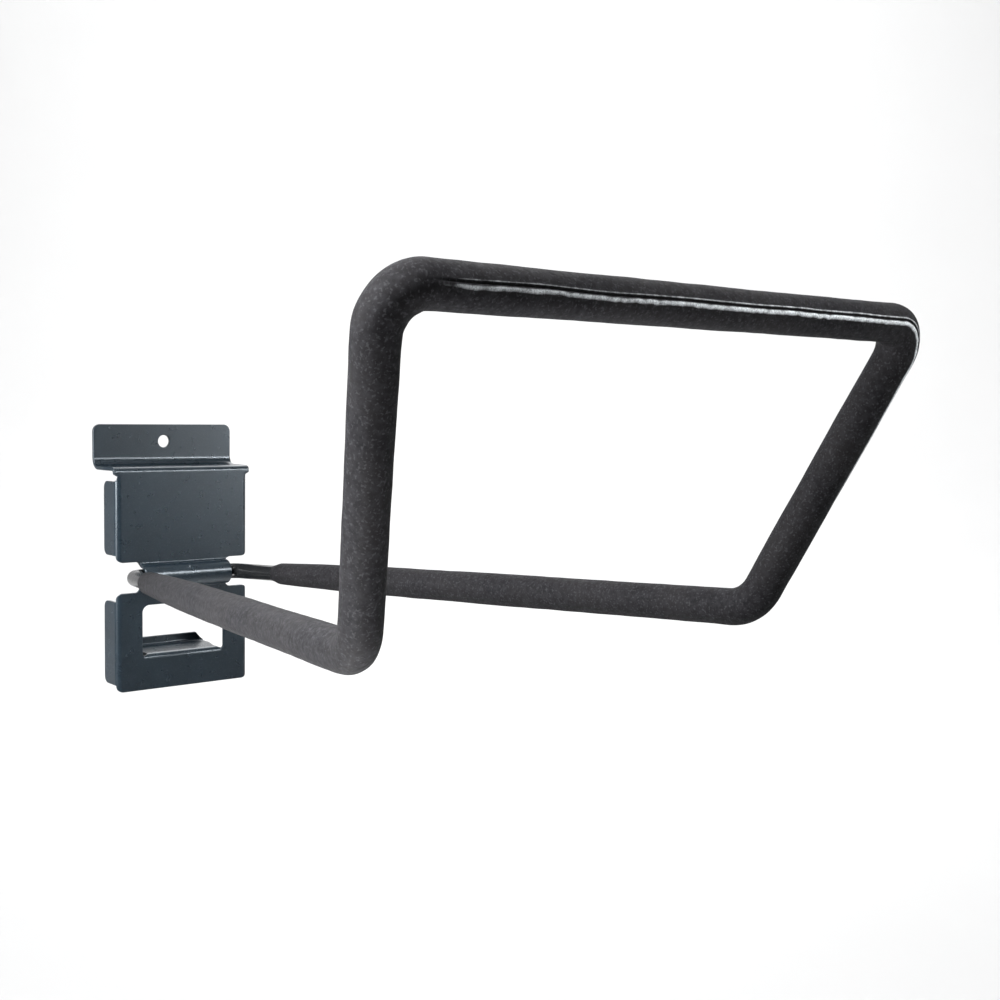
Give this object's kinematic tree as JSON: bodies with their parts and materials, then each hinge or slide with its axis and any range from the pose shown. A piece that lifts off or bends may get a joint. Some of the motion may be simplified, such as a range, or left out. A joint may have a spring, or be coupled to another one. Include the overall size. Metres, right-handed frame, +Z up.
{
  "type": "padded slatwall hook",
  "caption": "Wall bracket with two slot hooks, carrying a bent bar loop with a foam sleeve that long or framed items rest in.",
  "frame": {"origin": "on the bracket's centre line, on the underside of the upper ledge, in the plane of the panel's face", "axes": "+X to the right seen from the room, +Y into the wall, +Z up"},
  "size_m": [0.1968, 0.3048, 0.1485],
  "materials": {
    "bracket_coat": "satin powder coat, dark blue-grey, over folded sheet steel",
    "bar_coat": "satin black coat over round steel bar",
    "foam": "matte charcoal foam with a fine pebbled skin",
    "weld_coat": "satin powder coat over a rippled weld bead"
  },
  "bodies": {
    "root": {"wall_bracket": "bracket_coat", "loop_bar": "bar_coat", "foam_sleeve": "foam", "weld_upper_left": "weld_coat", "weld_upper_right": "weld_coat", "weld_lower_left": "weld_coat", "weld_lower_right": "weld_coat"}
  },
  "joints": []
}
